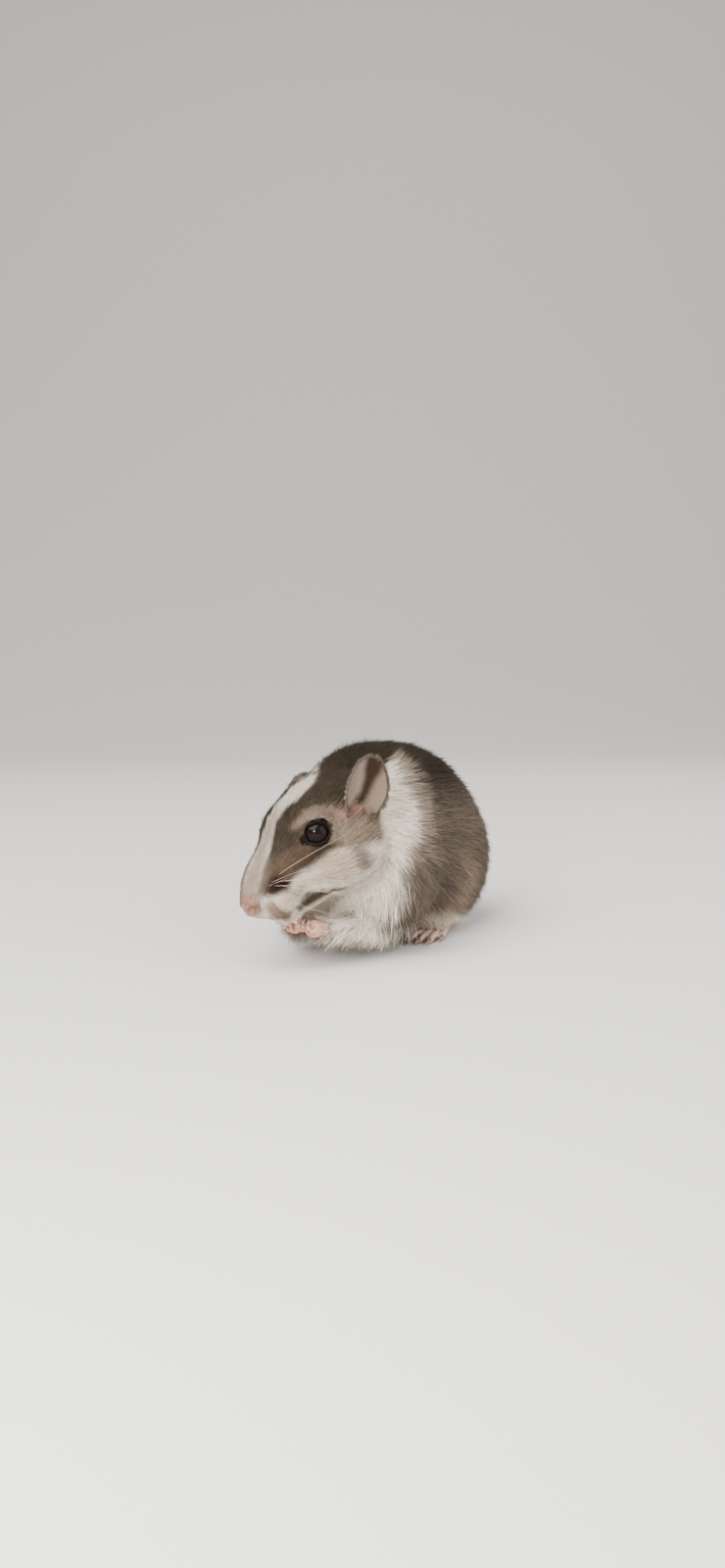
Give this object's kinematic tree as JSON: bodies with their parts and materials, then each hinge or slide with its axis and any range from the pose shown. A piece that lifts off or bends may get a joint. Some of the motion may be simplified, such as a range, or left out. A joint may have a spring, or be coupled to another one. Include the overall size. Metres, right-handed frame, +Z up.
{
  "type": "gerbil",
  "caption": "Life-size still model of a spotted Mongolian gerbil, sitting hunched with its hands held up under its chin and its head turned.",
  "frame": {"origin": "middle of the floor under the whole animal, tail included", "axes": "+Z up from the floor; the body faces -Y with its tail towards +Y; +X is the animal's left side"},
  "size_m": [0.0482, 0.1812, 0.046],
  "materials": {
    "grey_fur": "short dense grey-brown fur",
    "white_fur": "white fur, slightly longer",
    "dark_fur": "dark tufted fur of the tail's end",
    "bare_skin": "thinly haired pink skin",
    "ear_skin": "thin ear skin, finely haired",
    "eye": "wet, glossy, near black"
  },
  "bodies": {
    "root": {"ear_left": "ear_skin", "ear_right": "ear_skin", "eye_left": "eye", "eye_right": "eye", "forearm_left": "white_fur", "forearm_right": "white_fur", "hand_left": "bare_skin", "hand_right": "bare_skin", "head": "grey_fur", "hind_foot_left": "bare_skin", "hind_foot_right": "bare_skin", "neck": "white_fur", "tail_base": "grey_fur", "tail_middle": "grey_fur", "tail_tip": "dark_fur", "thigh_left": "grey_fur", "thigh_right": "grey_fur", "torso": "grey_fur", "upper_arm_left": "grey_fur", "upper_arm_right": "grey_fur"}
  },
  "joints": []
}
